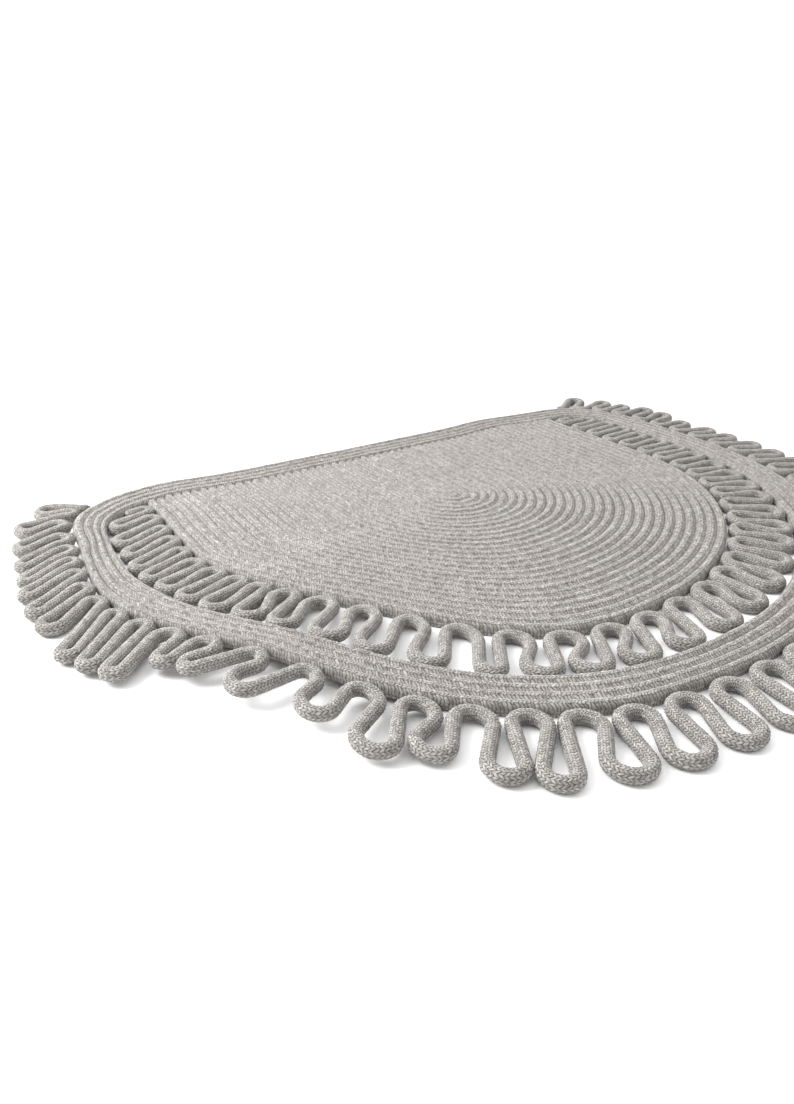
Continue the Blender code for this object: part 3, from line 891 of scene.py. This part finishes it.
def cord_material(name, light, dark, seed, relief, rowed):
    """Matte braided yarn: stitches of four yarns, heathered, with painted shade where they meet."""
    material = bpy.data.materials.new(name)
    material.use_nodes = True
    n = Nodes(material)
    shader = material.node_tree.nodes["Principled BSDF"]
    stitch = n.add("ShaderNodeUVMap", uv_map="stitch").outputs[0]
    split = n.add("ShaderNodeSeparateXYZ")
    n.link(stitch, split.inputs[0])
    place = n.add("ShaderNodeTexCoord").outputs["Object"]
    # Hand-fed yarn: no two stitches sit quite alike.
    astray = n.add("ShaderNodeTexNoise")
    astray.inputs["Scale"].default_value = 270.0
    astray.inputs["Detail"].default_value = 1.0
    n.link(place, astray.inputs["Vector"])
    stray = n.add("ShaderNodeSeparateColor")
    n.link(astray.outputs["Color"], stray.inputs[0])
    push = 1.5 if rowed else 0.8
    u = n.math("ADD", split.outputs[0], n.math("MULTIPLY_ADD", stray.outputs[0], push, -push / 2))
    v = n.math("ADD", split.outputs[1], n.math("MULTIPLY_ADD", stray.outputs[1], 0.8 * push, -0.4 * push))

    def hump(value, power):
        """1 in the middle of each unit, 0 at its ends."""
        f = n.math("FRACT", value)
        f = n.math("ABSOLUTE", n.math("MULTIPLY_ADD", f, 2.0, -1.0))
        return n.math("SUBTRACT", 1.0, n.math("POWER", f, power))

    along = hump(u, 2.6)
    across = hump(v, 3.0)
    yarn = hump(n.math("MULTIPLY", u, 2.0), 2.0)
    cell = n.add("ShaderNodeTexWhiteNoise", noise_dimensions="3D")
    n.link(n.vector(n.math("FLOOR", u), n.math("FLOOR", v), float(seed)), cell.inputs["Vector"])
    each = cell.outputs["Value"]
    threads = n.add("ShaderNodeTexWhiteNoise", noise_dimensions="3D")
    n.link(n.vector(n.math("FLOOR", n.math("MULTIPLY", u, 2.0)), n.math("FLOOR", v), float(seed) + 7.0), threads.inputs["Vector"])
    thread = threads.outputs["Value"]
    streak = n.noise(n.vector(n.math("MULTIPLY", u, 9.0), n.math("MULTIPLY", v, 2.5), float(seed)), 1.0, 2.0, 0.6)
    fibre = n.noise(place, 2300.0, 3.0, 0.65)
    patch = n.noise(place, 34.0, 2.0, 0.5)
    mottle = n.noise(place, 240.0, 2.0, 0.55)

    # Height of the yarns over the mesh's own stitches.
    height = n.math("MULTIPLY", along, 0.60)
    height = n.math("MULTIPLY_ADD", across, 0.35, height)
    height = n.math("MULTIPLY_ADD", yarn, 0.20, height)
    height = n.math("MULTIPLY_ADD", fibre, 0.30, height)
    height = n.math("MULTIPLY_ADD", each, 0.25, height)
    bump = n.add("ShaderNodeBump")
    bump.inputs["Strength"].default_value = relief
    bump.inputs["Distance"].default_value = 0.0009
    n.link(height, bump.inputs["Height"])
    n.link(bump.outputs[0], shader.inputs["Normal"])

    # Colour: heathered yarns, with painted shade between the stitches and, in sewn rows, between the rows.
    tone = n.math("MULTIPLY_ADD", each, 0.46, -0.02)
    tone = n.math("MULTIPLY_ADD", thread, 0.26, tone)
    tone = n.math("MULTIPLY_ADD", streak, 0.44, tone)
    tone = n.math("MULTIPLY_ADD", mottle, 0.36, tone)
    tone = n.math("MULTIPLY_ADD", patch, 0.16, tone)
    tone = n.math("MULTIPLY_ADD", fibre, 0.22, tone)
    tone = n.math("SUBTRACT", tone, 0.42, clamp=True)
    colour = n.mix(tone, dark, light)
    # Painted shade: a mask that falls towards the gaps between stitches, where they meet.
    deep = n.math("MULTIPLY", n.math("POWER", along, 0.8), n.math("POWER", across, 0.5))
    # In sewn rows the painted shade also falls in the gaps between neighbouring rows.
    if rowed:
        deep = n.math("MULTIPLY", deep, n.math("POWER", hump(n.math("MULTIPLY", split.outputs[1], 0.25), 5.0), 0.7))
    deep = n.math("MULTIPLY_ADD", deep, 0.86, 0.14, clamp=True)
    # The painted shade's dark brownish colour, multiplied into the yarn colour in the gaps.
    painted_gap_shade = n.mix(deep, (0.15, 0.115, 0.095), (1.0, 1.0, 1.0))
    colour = n.mix(1.0, colour, painted_gap_shade, "MULTIPLY")
    n.link(colour, shader.inputs["Base Color"])
    rough = n.math("MULTIPLY_ADD", fibre, 0.16, 0.80)
    n.link(rough, shader.inputs["Roughness"])
    shader.inputs["Sheen Weight"].default_value = 0.12
    shader.inputs["Sheen Roughness"].default_value = 0.5
    shader.inputs["Specular IOR Level"].default_value = 0.18
    return material


def fit_map(low, high, margin=0.02):
    """A map from plan points to the unit square."""
    low, high = np.array(low), np.array(high)
    return lambda xy: margin + (1 - 2 * margin) * (xy - low) / (high - low)


LIGHT, DARK = (0.570, 0.555, 0.534), (0.208, 0.193, 0.179)
panel_cord = cord_material("panel_cord", LIGHT, DARK, 3, 0.9, True)
border_cord = cord_material("border_cord", LIGHT, DARK, 5, 0.9, True)
loop_cord = cord_material("loop_cord", LIGHT, DARK, 8, 1.0, False)

panel = sewn_rows(
    "panel_rows", U_PATH, PANEL_ROWS, ROW, 21, panel_cord, 0.0030,
    fit_map((-0.30, -0.30), (0.30, 0.305)),
)
border = sewn_rows(
    "border_rows", RING_PATH, BORDER_ROWS, BORDER_ROW, 22, border_cord, 0.0030,
    fit_map((-0.405, -0.42), (0.405, 0.21)),
)
inner = looped_cord("inner_looped_cord", inner_pegs(), 31, loop_cord)
outer = looped_cord("outer_looped_cord", outer_pegs(), 32, loop_cord)

for piece, node, slot in (
    (panel, "centre_panel", "panel_cord"),
    (border, "border_band", "border_cord"),
    (inner, "inner_loops", "loop_cord"),
    (outer, "outer_loops", "loop_cord"),
):
    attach(piece, "root")
    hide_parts(node)

# ---- floor, light and camera -------------------------------------------------
floor_mesh = bpy.data.meshes.new("floor")
floor_mesh.from_pydata(
    [(30 * math.cos(a * math.pi / 24), 30 * math.sin(a * math.pi / 24), -0.0002) for a in range(48)], [], [tuple(range(48))]
)
floor = bpy.data.objects.new("floor", floor_mesh)
bpy.context.scene.collection.objects.link(floor)
pale = bpy.data.materials.new("pale_floor")
pale.use_nodes = True
pale.node_tree.nodes["Principled BSDF"].inputs["Base Color"].default_value = (0.98, 0.98, 0.98, 1)
pale.node_tree.nodes["Principled BSDF"].inputs["Roughness"].default_value = 0.8
pale.node_tree.nodes["Principled BSDF"].inputs["Specular IOR Level"].default_value = 0.2
floor_mesh.materials.append(pale)

scene = bpy.context.scene
world = bpy.data.worlds.new("studio")
world.use_nodes = True
n = Nodes(world)
background = world.node_tree.nodes["Background"]
background.inputs["Color"].default_value = (1.0, 1.0, 1.0, 1)
# A broad soft glow from behind and above, dimmer in front.
toward = n.add("ShaderNodeVectorMath", operation="DOT_PRODUCT")
n.link(n.add("ShaderNodeTexCoord").outputs["Generated"], toward.inputs[0])
toward.inputs[1].default_value = (0.48, 0.72, 0.50)
glow = n.add("ShaderNodeMapRange", interpolation_type="SMOOTHSTEP")
n.link(toward.outputs["Value"], glow.inputs["Value"])
for name, value in (("From Min", -0.3), ("From Max", 0.7), ("To Min", 0.60), ("To Max", 1.65)):
    glow.inputs[name].default_value = value
n.link(glow.outputs["Result"], background.inputs["Strength"])
scene.world = world


def soft_light(name, place, size, power, target=(0.0, -0.1, 0.0)):
    data = bpy.data.lights.new(name, "AREA")
    data.shape, data.size, data.energy = "DISK", size, power
    light = bpy.data.objects.new(name, data)
    light.location = place
    way = Vector(target) - Vector(place)
    light.rotation_euler = way.to_track_quat("-Z", "Y").to_euler()
    scene.collection.objects.link(light)
    return light


soft_light("key", (-1.15, 0.72, 1.05), 1.3, 46)
high = bpy.data.lights.new("high", "SUN")
high.energy, high.angle = 0.26, math.radians(60)
high_light = bpy.data.objects.new("high", high)
high_light.rotation_euler = Vector((0.42, -0.50, -1.0)).to_track_quat("-Z", "Y").to_euler()
scene.collection.objects.link(high_light)

forward = Vector((0.5095, 0.7469, -0.4274)).normalized()
right = forward.cross(Vector((0, 0, 1))).normalized()
up = right.cross(forward)
roll = math.radians(0.5)
right, up = math.cos(roll) * right + math.sin(roll) * up, math.cos(roll) * up - math.sin(roll) * right
camera_data = bpy.data.cameras.new("camera")
camera_data.lens, camera_data.sensor_width = 28.63, 36.0
camera_data.clip_start, camera_data.clip_end = 0.01, 100
camera = bpy.data.objects.new("camera", camera_data)
camera.matrix_world = Matrix((
    (right.x, up.x, -forward.x, -0.5526),
    (right.y, up.y, -forward.y, -0.7060),
    (right.z, up.z, -forward.z, 0.3622),
    (0, 0, 0, 1),
))
scene.collection.objects.link(camera)
scene.camera = camera
scene.view_settings.view_transform = "Standard"
